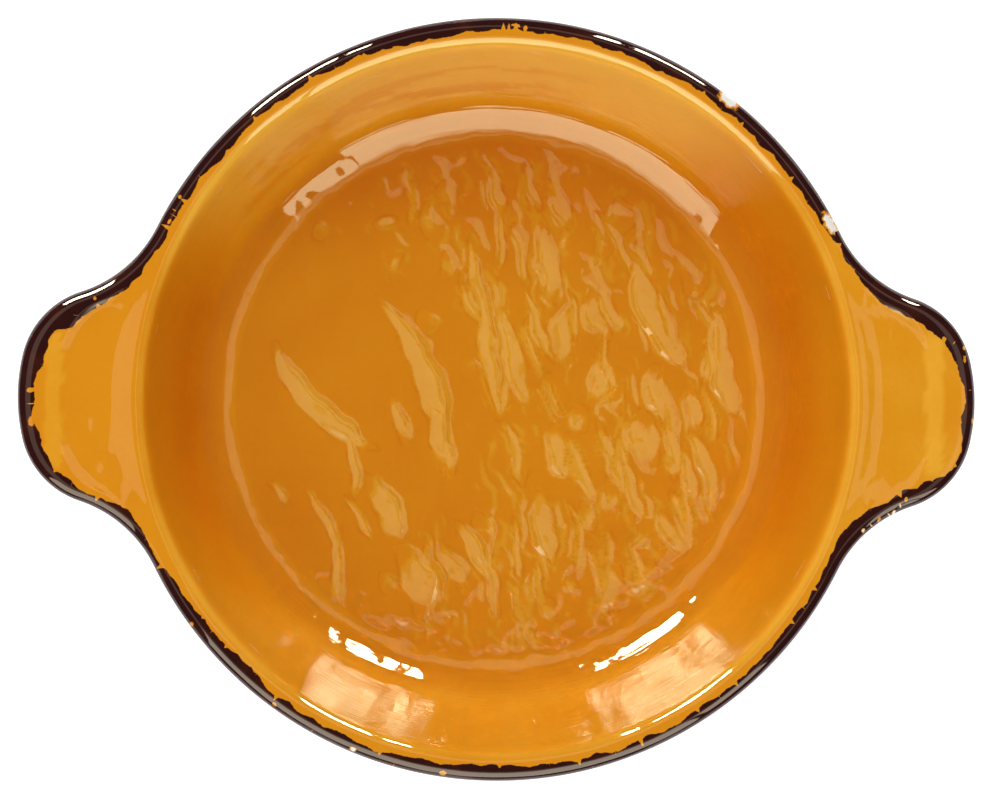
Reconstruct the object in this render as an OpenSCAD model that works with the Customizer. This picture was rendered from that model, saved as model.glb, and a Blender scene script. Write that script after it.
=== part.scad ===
// Round serving dish with two tab handles, slip-cast and glazed as one piece.
// Origin: centre of the table plane under the foot ring. The handles point
// along X, the bowl opens towards +Z. All sizes are in millimetres.

/* [Body] */
// Diameter of the round body over its lip
body_diameter = 239; // [232:1:250]
// Height of the rim above the table
dish_height = 48; // [42:1:60]
// Width of the rim, from the lip to the bowl's upper inner edge
rim_width = 8; // [7:0.5:11]
// How far the rim's top falls from the lip to the bowl's upper inner edge
rim_fall = 0.5; // [0:0.1:1]
// Thickness of the rounded lip and of the handles
lip_thickness = 6; // [4:0.5:8]

/* [Bowl] */
// Diameter of the flat floor inside the bowl
floor_diameter = 165; // [140:1:176]
// Radius of the cove between the floor and the wall
cove_radius = 18; // [8:1:24]
// Thickness of the bowl's wall
wall_thickness = 5.5; // [4:0.5:7]
// Thickness of the bowl's floor
floor_thickness = 6; // [4:0.5:9]
// Radius that eases the bowl's upper inner edge
mouth_rounding = 2; // [1:0.25:3]

/* [Floor relief] */
// How many of the flowing ridges stand on the floor
ridge_count = 28; // [0:1:28]
// Steepness of a ridge's long face, as height gained over width
ridge_slope = 0.12; // [0.04:0.01:0.16]

/* [Handles] */
// How far each handle stands out past the round body
handle_reach = 30.5; // [22:0.5:40]
// Width of a handle across its shoulders
handle_width = 68; // [60:1:84]
// Radius of the handle's shallow end curve
handle_end_radius = 58; // [46:1:90]
// Radius of the handle's two shoulders
handle_shoulder_radius = 27; // [16:1:29]
// Radius of the hollow curve where a handle leaves the body
handle_neck_radius = 40; // [24:1:60]
// Depth of the shallow flat-bottomed dip across the top of a handle
handle_dip = 0.9; // [0:0.1:2.5]

/* [Foot] */
// Outer diameter of the foot ring where it stands
foot_diameter = 152; // [120:1:160]
// Width of the foot ring's flat underside
foot_width = 4; // [3:0.5:8]
// Height of the foot ring
foot_height = 3; // [2:0.5:6]

/* [Hidden] */

body_r = body_diameter / 2;
lip_r = lip_thickness / 2;
mouth_r = body_r - rim_width;
floor_r = floor_diameter / 2;
floor_z = foot_height + floor_thickness;
$fn = 160;

// Steps along each curve of the outline, for a quarter of the dish
body_steps = 18;
neck_steps = 7;
shoulder_steps = 9;
end_steps = 3;

// Steps round each curve of the section
under_cove_steps = 7;
blend_steps = 8;
lip_steps = 8;
cove_steps = 12;
rounding_steps = 6;

// The wall leaves the cove as a tangent and ends at the bowl's upper inner edge.
cove_centre = [floor_r, floor_z + cove_radius];
mouth_from_cove = [mouth_r, dish_height] - cove_centre;
wall_angle = 90 + atan2(mouth_from_cove.y, mouth_from_cove.x)
    - acos(cove_radius / norm(mouth_from_cove));
wall_dir = [cos(wall_angle), sin(wall_angle)];
wall_out = [sin(wall_angle), -cos(wall_angle)];

// The outside of the wall runs beside the inside, one wall thickness away.
outer_point = [mouth_r, dish_height] + wall_thickness * wall_out;
under_cove_radius = cove_radius + wall_thickness;
under_cove_z = foot_height + under_cove_radius;
under_cove_x = (outer_point * wall_out - under_cove_radius - under_cove_z * wall_out.y) / wall_out.x;
under_cove_centre = [under_cove_x, under_cove_z];

// The bead under the lip blends into the wall over this height.
blend_depth = 16;
blend_z = dish_height - blend_depth;
blend_point = outer_point + wall_dir * (blend_z - outer_point.y) / wall_dir.y;
blend_pull_lip = 0.55;
blend_pull_wall = 9;
// Angle at which the lip's curve ends: on the plain rim, and under a handle
bead_end_angle = -62;
handle_end_angle = -82;
// Stretch past the body over which the bead turns into a handle's underside
handle_blend = 24;

// The rounding of the upper inner edge rises a hair past the rim, so that it
// crosses the flat rim at a slight angle.
mouth_rise = 0.05;
rim_low_z = dish_height - rim_fall;
mouth_arc_z = rim_low_z + mouth_rise - mouth_rounding;
mouth_arc_x = mouth_r + (mouth_arc_z - dish_height) / tan(wall_angle) + mouth_rounding / sin(wall_angle);
mouth_arc_centre = [mouth_arc_x, mouth_arc_z];
// Radius at which the rim's flat inner margin begins
rim_flat_r = mouth_arc_x + 0.6;

// Places across the rim's top where its section bends, from the lip (1) to the
// flat margin (0)
rim_shares = [0.92, 0.8, 0.68, 0.3, 0.17, 0.04, 0];

// Ridges as [x, y, length, lean from the Y axis, sideways bend, width of the
// long face], drawn for a floor of this radius
ridge_floor_r = 82.5;
ridges = [
    [-27, 5, 59, 20, 5, 9],
    [-54, 1, 46, 45, -5, 8.5],
    [-3, 23, 60, 10, -0.5, 4],
    [49, -13, 21, 10, 0, 8.5],
    [53, 29, 40, 25, -2, 6],
    [75, 13, 38, 10, -1, 6],
    [-27, -59, 25, 20, 2.5, 9],
    [8, 14, 37, 15, -1.5, 4.5],
    [-37, -36, 24, 25, 3, 6.5],
    [23, -17, 20, 25, -0.5, 6.5],
    [32, 7, 20, -5, 3.5, 6],
    [54, 3, 15, 15, 0, 6],
    [17, 44, 25, 10, 1, 5],
    [18, -41, 25, 10, -1, 5],
    [68, -23, 31, 15, 2, 4],
    [40, -59, 17, 10, -0.5, 6.5],
    [-7, -49, 21, 25, 1, 5],
    [24, 21, 19, 0, -2, 5],
    [50, -44, 10, 35, 1, 8.5],
    [34, 27, 17, 25, -1.5, 4.5],
    [1, 67, 18, 10, 0, 4],
    [21, 62, 16, 30, 0.5, 4.5],
    [-14, -53, 16, 25, 1, 4.5],
    [41, 60, 11, 10, 0.5, 6.5],
    [42, -22, 20, 10, -1, 3],
    [-15, -17, 15, 20, 0, 4],
    [31, -38, 10, 25, 0, 4],
    [28, -6, 10, 20, 0, 4.5]
];

// Centres of the outline's curves in the first quarter, and the angles at
// which one curve hands over to the next as a tangent
end_centre = [body_r + handle_reach - handle_end_radius, 0];
end_angle = asin((handle_width / 2 - handle_shoulder_radius) / (handle_end_radius - handle_shoulder_radius));
shoulder_centre = end_centre
    + (handle_end_radius - handle_shoulder_radius) * [cos(end_angle), sin(end_angle)];
shoulder_distance = norm(shoulder_centre);
neck_distance = body_r + handle_neck_radius;
neck_to_shoulder = handle_neck_radius + handle_shoulder_radius;
neck_angle = atan2(shoulder_centre.y, shoulder_centre.x)
    + acos((pow(shoulder_distance, 2) + pow(neck_distance, 2) - pow(neck_to_shoulder, 2))
        / (2 * shoulder_distance * neck_distance));
neck_centre = neck_distance * [cos(neck_angle), sin(neck_angle)];
shoulder_angle = atan2(neck_centre.y - shoulder_centre.y, neck_centre.x - shoulder_centre.x);

// Points of an arc with their outward directions. A hollow arc has its centre
// outside the dish, so its outward direction points at that centre.
function direction(angle) = [cos(angle), sin(angle)];
function arc(centre, radius, from, to, steps) =
    [for (i = [0 : steps - 1])
        let (dir = direction(from + (to - from) * i / steps))
        [centre + radius * dir, dir]];
function hollow_arc(centre, radius, from, to, steps) =
    [for (i = [0 : steps - 1])
        let (dir = direction(from + (to - from) * i / steps))
        [centre - radius * dir, dir]];

// A quarter of the outline, from the tip of the handle to the Y axis
quarter = concat(
    arc(end_centre, handle_end_radius, 0, end_angle, end_steps),
    arc(shoulder_centre, handle_shoulder_radius, end_angle, shoulder_angle, shoulder_steps),
    hollow_arc(neck_centre, handle_neck_radius, shoulder_angle, neck_angle, neck_steps),
    arc([0, 0], body_r, neck_angle, 90, body_steps),
    [[[0, body_r], [0, 1]]]
);
function flip_x(item) = [for (v = item) [-v.x, v.y]];
function turn_half(item) = [for (v = item) -v];
last = len(quarter) - 1;
half = concat(quarter, [for (i = [last - 1 : -1 : 1]) flip_x(quarter[i])]);
outline = concat(half, [for (item = half) turn_half(item)]);

// Share of a handle at an outline point: 0 on the round body, rising smoothly
// to 1 where the outline lies a given stretch past the body
function handle_share(point, stretch) =
    ease((norm(point) - body_r) / stretch);

// Point of a cubic curve between two ends, bent by its two middle points
function blend_curve(a, b, c, d, t) =
    pow(1 - t, 3) * a + 3 * t * pow(1 - t, 2) * b + 3 * t * t * (1 - t) * c + pow(t, 3) * d;

function place(dir, point) = [dir.x * point.x, dir.y * point.x, point.y];

function lip_point(item, angle) =
    let (plan = item[0] - lip_r * (1 - cos(angle)) * item[1])
    [plan.x, plan.y, dish_height - lip_r + lip_r * sin(angle)];

// Underside of the bowl: the cove, then straight up the outside of the wall
function under_points(radial) =
    [for (i = [0 : under_cove_steps])
        let (angle = -90 + wall_angle * i / under_cove_steps)
        place(radial, under_cove_centre + under_cove_radius * direction(angle))];

// From the outside of the wall to the lip, under the bead or the handle
function blend_points(item, radial, lip_angle) =
    let (
        start = place(radial, blend_point),
        end = lip_point(item, lip_angle),
        across = [start.x - end.x, start.y - end.y],
        lip_pull = end + blend_pull_lip * [across.x, across.y, norm(across) / tan(lip_angle)],
        wall_pull = start + blend_pull_wall * place(radial, wall_dir)
    )
    [for (i = [0 : blend_steps - 1])
        blend_curve(start, wall_pull, lip_pull, end, i / blend_steps)];

function lip_points(item, lip_angle) =
    [for (i = [0 : lip_steps]) lip_point(item, lip_angle + (90 - lip_angle) * i / lip_steps)];

// Smooth rise from 0 to 1 as the value passes from 0 to 1
function ease(value) = let (t = max(0, min(1, value))) t * t * (3 - 2 * t);

// Across the top, from the lip to the flat margin beside the bowl
function rim_points(item, radial) =
    let (
        lip = lip_point(item, 90),
        margin = place(radial, [rim_flat_r, dish_height]),
        depth = handle_dip * handle_share(item[0], handle_reach)
    )
    [for (t = rim_shares)
        let (
            spot = margin + (lip - margin) * t,
            fall = rim_fall * pow(1 - t, 2),
            dip = depth * ease((t - 0.04) / 0.26) * ease((0.92 - t) / 0.24)
        )
        [spot.x, spot.y, dish_height - fall - dip]];

function section(item) =
    let (
        radial = item[0] / norm(item[0]),
        share = handle_share(item[0], handle_blend),
        lip_angle = bead_end_angle + (handle_end_angle - bead_end_angle) * share
    )
    concat(
        under_points(radial),
        blend_points(item, radial, lip_angle),
        lip_points(item, lip_angle),
        rim_points(item, radial)
    );

// The closed body before the bowl is hollowed out, lofted round the outline
module blank() {
    sections = [for (item = outline) section(item)];
    turns = len(sections);
    rows = len(sections[0]);
    skin = [for (j = [0 : turns - 1], k = [0 : rows - 2])
        let (a = j * rows + k, b = ((j + 1) % turns) * rows + k)
        each [[a, a + 1, b + 1], [a, b + 1, b]]];
    underside = [for (j = [0 : turns - 1]) j * rows];
    top = [for (j = [turns - 1 : -1 : 0]) j * rows + rows - 1];
    polyhedron(points = [for (s = sections) each s], faces = concat(skin, [underside, top]));
}

// The hollow of the bowl: flat floor, cove, straight wall and eased upper edge
module bowl_hollow() {
    clear_top = 2;
    cove = [for (i = [0 : cove_steps])
        cove_centre + cove_radius * direction(-90 + wall_angle * i / cove_steps)];
    edge = [for (i = [0 : rounding_steps])
        mouth_arc_centre + mouth_rounding * direction(90 + wall_angle * (1 - i / rounding_steps))];
    rotate_extrude()
        polygon(concat(
            [[0, floor_z]],
            cove,
            edge,
            [[mouth_arc_x, dish_height + clear_top], [0, dish_height + clear_top]]
        ));
}

// The ring that the dish stands on, with sloping sides and eased edges
module foot_ring() {
    outer = foot_diameter / 2;
    inner = outer - foot_width;
    ease = 0.6;
    draft = 0.35;
    rise = foot_height + floor_thickness / 3;
    rotate_extrude()
        polygon([
            [inner, 0],
            [outer, 0],
            [outer + ease, ease],
            [outer + ease + draft * (rise - ease), rise],
            [inner - ease - draft * (rise - ease), rise],
            [inner - ease, ease]
        ]);
}

// A low ridge on the floor: a long face that rises across a bent line, and a
// short steep face behind it. The ridge starts and ends under the floor.
module flow_ridge(ridge) {
    grow = floor_r / ridge_floor_r;
    middle = grow * [ridge[0], ridge[1]];
    length = grow * ridge[2];
    lean = ridge[3];
    bend = grow * ridge[4];
    width = grow * ridge[5];
    down = [sin(lean), -cos(lean)];
    across = [cos(lean), sin(lean)] * (ridge[0] < 0 ? 1 : -1);
    sway = ridge[0] < 0 ? bend : -bend;
    steps = max(6, ceil(length / 6));
    sink = 0.06;
    run_in = 1;
    depth = 1.2;
    rings = [for (i = [0 : steps])
        let (
            t = i / steps,
            line = middle + (t - 0.5) * length * down + sway * (1 - pow(2 * t - 1, 2)) * across,
            half = width / 2 * sqrt(max(0.003, 1 - pow(2 * pow(t, 0.9) - 1, 2))),
            crest = floor_z - sink + 2 * half * ridge_slope,
            back = max(1.1, 0.35 * 2 * half),
            near = line - (half + run_in) * across,
            top = line + half * across,
            far = line + (half + back) * across
        )
        [
            [near.x, near.y, floor_z - sink - run_in * ridge_slope],
            [top.x, top.y, crest],
            [far.x, far.y, floor_z - 2 * sink],
            [far.x, far.y, floor_z - depth],
            [near.x, near.y, floor_z - depth]
        ]];
    sides = 5;
    turned = ridge[0] < 0;
    function corner(i, k) = i * sides + (turned ? k % sides : (sides - k % sides) % sides);
    skin = [for (i = [0 : steps - 1], k = [0 : sides - 1])
        let (a = corner(i, k), b = corner(i, k + 1), c = corner(i + 1, k + 1), d = corner(i + 1, k))
        each [[a, b, c], [a, c, d]]];
    first_cap = [for (k = [sides - 1 : -1 : 0]) corner(0, k)];
    last_cap = [for (k = [0 : sides - 1]) corner(steps, k)];
    polyhedron(points = [for (ring = rings) each ring], faces = concat(skin, [first_cap, last_cap]));
}

module floor_relief() {
    for (i = [0 : 1 : ridge_count - 1])
        flow_ridge(ridges[i]);
}

module dish() {
    color([0.82, 0.5, 0.1]) {
        difference() {
            blank();
            bowl_hollow();
        }
        floor_relief();
        foot_ring();
    }
}

dish();
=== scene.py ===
# Round two-handled serving dish: amber glaze, dark painted edge, flowing relief on its floor.
import math

import bpy
import numpy as np
from mathutils import Matrix, Vector


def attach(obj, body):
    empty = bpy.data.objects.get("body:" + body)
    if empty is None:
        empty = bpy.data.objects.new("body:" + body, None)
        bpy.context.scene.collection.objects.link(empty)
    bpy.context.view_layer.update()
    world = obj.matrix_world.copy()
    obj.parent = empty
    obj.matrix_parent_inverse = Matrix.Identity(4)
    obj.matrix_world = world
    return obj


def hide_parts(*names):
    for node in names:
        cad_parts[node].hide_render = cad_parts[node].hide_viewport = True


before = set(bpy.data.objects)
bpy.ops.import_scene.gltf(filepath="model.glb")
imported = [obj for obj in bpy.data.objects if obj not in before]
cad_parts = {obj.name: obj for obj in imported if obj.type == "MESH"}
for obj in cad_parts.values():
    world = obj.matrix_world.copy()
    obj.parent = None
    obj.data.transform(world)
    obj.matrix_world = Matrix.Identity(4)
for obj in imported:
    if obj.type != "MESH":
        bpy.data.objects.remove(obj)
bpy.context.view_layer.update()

MM = 0.001

# Sizes of the dish in millimetres, as in the part's source
BODY_R = 119.5
DISH_HEIGHT = 48.0
RIM_WIDTH = 8.0
RIM_FALL = 0.5
LIP_R = 3.0
FLOOR_R = 82.5
COVE_R = 18.0
WALL_THICKNESS = 5.5
FLOOR_THICKNESS = 6.0
HANDLE_REACH = 30.5
HANDLE_WIDTH = 68.0
END_R = 58.0
SHOULDER_R = 27.0
NECK_R = 40.0
FOOT_R = 76.0
FOOT_WIDTH = 4.0
FOOT_HEIGHT = 3.0
FOOT_EASE = 0.6
FOOT_DRAFT = 0.35
BLEND_DEPTH = 16.0
BLEND_PULL_LIP = 0.55
BLEND_PULL_WALL = 9.0
BEAD_END = -62.0
HANDLE_END = -82.0
HANDLE_BLEND = 24.0
MOUTH_R = BODY_R - RIM_WIDTH
FLOOR_Z = FOOT_HEIGHT + FLOOR_THICKNESS

# Sizes that only the glazed surface has: a softer mouth, shallower dips, and
# the tilt in degrees where the rim's top meets the mouth's rounding
MOUTH_ROUNDING = 4.0
HANDLE_DIP = 0.78
RIM_TILT = 7.3
# Soft edges of the foot ring: the fillets beside it, then how far out and how
# high its edge turns. Then the radii of the underside's rings inside it, and the
# rings of the straight outer wall as shares of the way down it.
FOOT_FILLET = 0.8
FOOT_FILLET_RISE = 0.3
FOOT_TURN = (0.36, 0.15)
UNDER_RADII = (60.0, 40.0, 15.0)
UNDER_WALL_SHARES = (0.33, 0.67)

# Steps along a quarter of the outline: end, shoulder, neck, body
QUARTER_STEPS = (8, 19, 21, 80)
# Rings of the floor: every how many points of the outline, then first radius,
# last radius and distance between rings
FLOOR_RINGS = (
    (8, 0.8, 9.6, 0.8),
    (4, 9.6, 20.0, 0.8),
    (2, 20.0, 40.0, 0.8),
    (1, 40.0, FLOOR_R, 0.7),
)
# Steps up the section of the dish, from the cove over the lip to the foot
COVE_STEPS = 16
WALL_STEPS = 15
MOUTH_STEPS = 10
RIM_STEPS = 21
LIP_STEPS = 12
BLEND_STEPS = 10
UNDER_STEPS = 7

# Ridges of the floor's relief in millimetres: middle x, middle y, length, lean
# in degrees from the Y axis, sideways bend, and width of the sloping face
RIDGES = (
    (-27, 5, 60, 20, 5, 6.8),
    (-54, 1, 48, 45, -6, 5.6),
    (-3, 23, 60, 10, -0.5, 4),
    (0, 12, 37, 5, 4.5, 2.5),
    (8, 14, 37, 15, -1.5, 4.5),
    (1, 67, 18, 10, 0, 4),
    (-31, -7, 17, 15, 0.5, 4),
    (17, 44, 25, 10, 1, 5),
    (21, 62, 16, 30, 0.5, 4.5),
    (24, 21, 19, 0, -2, 5),
    (32, 7, 20, -5, 3.5, 6),
    (34, 27, 17, 25, -1.5, 4.5),
    (38, 29, 18, 30, -0.5, 3),
    (53, 29, 40, 25, -2, 6),
    (41, 60, 11, 10, 0.5, 6.5),
    (35, 49, 6, 0, 0, 6),
    (64, 42, 8, -85, 6, 4),
    (75, 13, 38, 10, -1, 6),
    (54, 2, 21, 15, 0, 6),
    (63, -3, 17, 5, 1.5, 4.5),
    (49, -13, 21, 10, 0, 8.5),
    (-37, -36, 24, 25, 3, 6.5),
    (-27, -59, 25, 20, 2.5, 9),
    (-15, -17, 15, 20, 0, 4),
    (-7, -49, 21, 25, 1, 5),
    (-3, -41, 10, 30, 0, 4.5),
    (-14, -53, 16, 25, 1, 4.5),
    (18, -41, 25, 10, -1, 5),
    (23, -17, 20, 25, -0.5, 6.5),
    (42, -22, 20, 10, -1, 3),
    (58, -14, 18, 10, 0, 4),
    (64, -24, 19, 15, -0.5, 3.5),
    (68, -23, 31, 15, 2, 4),
    (50, -44, 10, 35, 1, 8.5),
    (61, -39, 22, 20, 0.5, 3),
    (58, -42, 18, 30, -1, 4),
    (40, -59, 17, 10, -0.5, 6.5),
    (50, -57, 23, 30, -0.5, 2.5),
    (31, -38, 10, 25, 0, 4),
    (38, -31, 11, 10, 0, 4.5),
    (28, -6, 10, 20, 0, 4.5),
    (41, 0, 10, -5, -2, 4),
    (4, -53, 8, 5, -0.5, 4.5),
    (-22, 25, 8, 5, -0.5, 6),
    (-8, 10, 8, 5, 0, 5),
    (-22, 57, 10, 0, 0, 4),
    (-17, 67, 8, -55, -0.5, 4),
    (-35, 58, 8, -75, 0.5, 3),
    (-32, 43, 8, -25, 0, 3),
    (-16, 43, 9, -10, 0.5, 3),
    (-57, 54, 7, 20, 0, 3.5),
    (-34, -60, 9, 30, 0, 4.5),
    (-16, -68, 8, 15, -0.5, 5),
    (-54, -39, 24, 30, 0, 2.5),
    (-69, -31, 11, 40, 0.5, 2.5),
    (9, -22, 9, 5, 0, 4.5),
    (52, -56, 8, 15, 0, 3),
    (19, -68, 9, 10, 0, 3),
    (26, -59, 7, 15, 0, 3),
)
# Steepness of a ridge's long face, and the width of its short face: at least the
# first number, and at least the second number's share of half the ridge's width
RIDGE_SLOPE = 0.12
RIDGE_FALL = 1.1
RIDGE_FALL_SHARE = 0.85
# Outline of a ridge: where it is widest, how blunt it is, and how much and over
# what length its width swings
RIDGE_SKEW = 1.15
RIDGE_BLUNTNESS = 0.62
RIDGE_SWING = 0.3
RIDGE_SWING_LENGTH = 8.0
RIDGE_SEED = 41
# Height of a ridge: the share it has without length and what each width of
# length adds, the distance over which its ends rise, plain and for each
# millimetre of width, and the share left at its tips
RIDGE_STOUTNESS = (0.35, 0.13)
RIDGE_ENDS = (2.0, 1.2)
RIDGE_END_HEIGHT = 0.2
RIDGE_STEPS = 14

# The smaller ridges: how many and how far from the middle, then their ranges of
# length and width, and the mean and spread of their lean and bend
SMALL_RIDGES = 45
SMALL_RIDGE_REACH = 76.0
SMALL_RIDGE_SEED = 7
SMALL_RIDGE_LENGTH = (8, 28)
SMALL_RIDGE_WIDTH = (1.5, 2.8)
SMALL_RIDGE_LEAN = (15, 8)
SMALL_RIDGE_BEND = (0, 1.0)

# Ripples: height, length across, length along, and seed
LUMPS = (0.30, 6.0, 17.0, 21)
GRAIN = (0.06, 3.6, 8.0, 22)
SWELL = (0.08, 26.0, 34.0, 23)
SWAY_X = ((1.4, 9.0, 9.0, 11), (0.3, 4.0, 4.0, 12))
SWAY_Y = ((1.4, 9.0, 9.0, 13), (0.3, 4.0, 4.0, 14))
COVE_SWELL = (0.12, 13.0, 13.0, 31)
COVE_RIPPLE = (1.0, 6.0, 6.0, 32)
COVE_GRAIN = (0.10, 3.0, 3.0, 33)
RIM_RIPPLE = (0.16, 5.0, 13.0, 51)
# Height of the cove's ripples: everywhere, and added in front, behind and on the left
COVE_RIPPLE_HEIGHTS = (0.04, 0.17, 0.06, 0.05)
# Lean in degrees of the relief's ripples, and the share of them left on a ridge
FLOW_LEAN = 18.0
RIPPLE_ON_RIDGE = 0.2
# How far the relief and the rim's ripples are lowered
RELIEF_SINK = 0.1
RIM_RIPPLE_SINK = 0.04
# Distance over which the relief's steepness is measured, and the steepness
# where the glaze starts to thin and where it is thin, which also places the painted
# reflection and painted shade on slopes
SLOPE_STEP = 0.3
STEEP_SPAN = (0.045, 0.07)

# Spans: where a thing starts, is full, starts to fade, and ends. The first two
# are shares of the way over the rim, the others millimetres.
DIP_SPAN = (0, 0.22, 0.60, 0.81)
RIM_RIPPLE_SPAN = (0.04, 0.14, 0.7, 0.9)
CREASE_SPAN = (113, 116, 120, 124)
LEFT_SPAN_X = (-134, -130, -122, -118)
LEFT_SPAN_Y = (-26, -21, -8, -3)
COVE_SPAN = (70, 78, 88, 96)
# Strength of the ripples beside the handles' creases
CREASE_RIPPLE = 0.7

# Width of the dark painted band at places round the edge, both in millimetres,
# anticlockwise from +X
BAND_WIDTHS = (
    (0, 3.4), (8, 4.6), (16, 5.8), (26, 5.9), (36, 6.8), (44, 5.8), (52, 5.6), (60, 3.8),
    (68, 2.4), (76, 4.2), (86, 5.3), (100, 4.8), (112, 4.8), (122, 4.2), (132, 4.6),
    (142, 3.9), (154, 5.2), (166, 4.6), (180, 4.6), (192, 4.4), (204, 3.6), (214, 4.8),
    (228, 5.3), (242, 4.8), (252, 4.1), (264, 4.4), (284, 4.4), (292, 3.8), (304, 4.9),
    (320, 4.4), (340, 4.3), (348, 4.0), (358, 5.3), (366, 6.0), (372, 7.4), (380, 8.6),
    (386, 6.4), (394, 7.0), (404, 6.2), (412, 5.2), (418, 4.2), (426, 5.7), (436, 5.0),
    (444, 5.4), (452, 3.8), (458, 3.6), (466, 4.8), (474, 3.0), (482, 2.3), (490, 3.6),
    (500, 4.7), (514, 4.6), (522, 5.8), (530, 4.9), (540, 4.4), (552, 3.8), (566, 4.0),
    (578, 3.8), (590, 4.5), (610, 5.2), (628, 4.8), (642, 4.0), (660, 4.0), (678, 4.0),
    (690, 4.7), (706, 3.8), (716, 3.8), (726, 4.7), (738, 3.9), (748, 4.3), (756, 5.4),
    (764, 5.7), (772, 4.9), (780, 5.2), (788, 5.8), (796, 2.9), (806, 2.6), (816, 3.8),
)

# Nicks where amber breaks into the band: place round the edge and depth
NICKS = (
    (24, 1.2), (70, 1.0), (96, 1.4), (120, 1.3), (136, 1.0), (201, 1.8), (205, 2.2), (251, 0.8),
    (270, 1.6), (292, 1.0), (327, 2.0), (337, 2.8), (367, 1.2), (409, 1.6), (419, 1.2), (440, 0.9),
    (457, 1.5), (485, 1.8), (506, 0.8), (518, 1.0), (541, 1.5), (579, 1.0), (618, 0.9), (644, 1.4),
    (665, 2.6), (686, 1.2), (701, 1.4), (728, 1.4), (741, 1.2), (779, 1.6), (801, 1.0),
)
# Chips in the dark band: x, y, half length along the edge, half width, and 1
# where the pale body shows through. In the two large pale chips at the back right
# the pale body also stands in for a painted highlight.
CHIPS = (
    (-145.8, 1.8, 0.7, 1.0, 0), (-145.4, -7.9, 1.3, 1.0, 0), (-136.6, 19.1, 0.7, 0.5, 0),
    (-126.0, 30.5, 0.6, 0.5, 0), (-99.9, 62.3, 0.6, 0.6, 0), (-103.0, 54.7, 0.8, 0.5, 0),
    (4.6, 117.0, 1.7, 0.4, 0), (7.5, 116.0, 0.6, 1.0, 0), (-44.8, -109.5, 1.2, 0.7, 1),
    (-69.3, -95.6, 0.8, 0.5, 0), (-95.2, -70.7, 0.7, 0.6, 0), (-16.5, -116.8, 1.0, 0.8, 0),
    (109.3, 50.1, 0.9, 0.9, 0), (139.7, 20.2, 0.5, 0.5, 0), (146.3, 17.2, 0.6, 0.6, 0),
    (146.3, 13.4, 0.8, 0.4, 0), (149.2, -5.7, 0.8, 0.5, 0), (128.1, -30.5, 0.8, 0.5, 0),
    (124.4, -34.7, 0.9, 0.6, 1), (119.7, -36.9, 0.9, 0.5, 0), (114.7, -40.3, 0.8, 0.6, 1),
    (71.4, 94.3, 3.8, 1.9, 1), (103.5, 56.0, 3.9, 1.9, 1), (-118.3, 6.0, 0.5, 0.3, 0),
)

# Values of the band attribute on the amber inside and on the dark outside
FAR_INSIDE = 40.0
FAR_OUTSIDE = -6.0
# Distance given to points that have nothing near them
FAR_AWAY = 9.0


def direction(degrees):
    """Unit vectors at the given angles."""
    turn = np.radians(degrees)
    return np.stack([np.cos(turn), np.sin(turn)], axis=-1)


def rise(value, start, end):
    """Smooth rise from 0 to 1 as the value passes from start to end, whichever is larger."""
    share = np.clip((value - start) / (end - start), 0.0, 1.0)
    return share * share * (3.0 - 2.0 * share)


def within(value, start, full, fading, end):
    """Smooth hill: 0 up to the start, 1 from full to fading, and 0 past the end."""
    return rise(value, start, full) * rise(value, end, fading)


def arc(centre, radius, start, end, steps, hollow=False):
    """Points of an arc and their outward directions, without the last point."""
    way = direction(start + (end - start) * np.arange(steps) / steps)
    return centre + (-radius if hollow else radius) * way, way


def outline():
    """Points round the dish's outer edge, anticlockwise from +X, with outward directions."""
    end_centre = np.array([BODY_R + HANDLE_REACH - END_R, 0.0])
    end_angle = math.degrees(math.asin((HANDLE_WIDTH / 2 - SHOULDER_R) / (END_R - SHOULDER_R)))
    shoulder_centre = end_centre + (END_R - SHOULDER_R) * direction(end_angle)
    away = np.hypot(*shoulder_centre)
    neck_away = BODY_R + NECK_R
    apart = NECK_R + SHOULDER_R
    opening = math.acos((away**2 + neck_away**2 - apart**2) / (2 * away * neck_away))
    neck_angle = math.degrees(math.atan2(shoulder_centre[1], shoulder_centre[0]) + opening)
    neck_centre = neck_away * direction(neck_angle)
    to_neck = neck_centre - shoulder_centre
    shoulder_angle = math.degrees(math.atan2(to_neck[1], to_neck[0]))
    end_steps, shoulder_steps, neck_steps, body_steps = QUARTER_STEPS
    pieces = (
        arc(end_centre, END_R, 0, end_angle, end_steps),
        arc(shoulder_centre, SHOULDER_R, end_angle, shoulder_angle, shoulder_steps),
        arc(neck_centre, NECK_R, shoulder_angle, neck_angle, neck_steps, hollow=True),
        arc(np.zeros(2), BODY_R, neck_angle, 90, body_steps),
    )
    points = np.concatenate([piece[0] for piece in pieces])
    ways = np.concatenate([piece[1] for piece in pieces])
    mirror = np.array([-1.0, 1.0])
    top = np.array([[0.0, BODY_R]])
    points = np.concatenate([points, top, points[:0:-1] * mirror])
    ways = np.concatenate([ways, top / BODY_R, ways[:0:-1] * mirror])
    return np.concatenate([points, -points]), np.concatenate([ways, -ways])


NOISE_CELLS = 256
NOISE_SCALE = 1.5


def gradient_noise(x, y, seed):
    """Smooth noise between about -1 and 1, with one feature a unit."""
    ways = direction(np.random.default_rng(seed).uniform(0, 360, (NOISE_CELLS, NOISE_CELLS)))
    column = np.floor(x).astype(int)
    row = np.floor(y).astype(int)
    across = x - column
    along = y - row

    def corner(i, j):
        way = ways[(column + i) % NOISE_CELLS, (row + j) % NOISE_CELLS]
        return way[..., 0] * (across - i) + way[..., 1] * (along - j)

    ease_x = across**3 * (across * (across * 6 - 15) + 10)
    ease_y = along**3 * (along * (along * 6 - 15) + 10)
    low = corner(0, 0) * (1 - ease_x) + corner(1, 0) * ease_x
    high = corner(0, 1) * (1 - ease_x) + corner(1, 1) * ease_x
    return NOISE_SCALE * (low * (1 - ease_y) + high * ease_y)


def ripple(x, y, shape):
    """Ripples with the given height, length across, length along and seed."""
    height, across, along, seed = shape
    return height * gradient_noise(x / across, y / along, seed)


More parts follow.
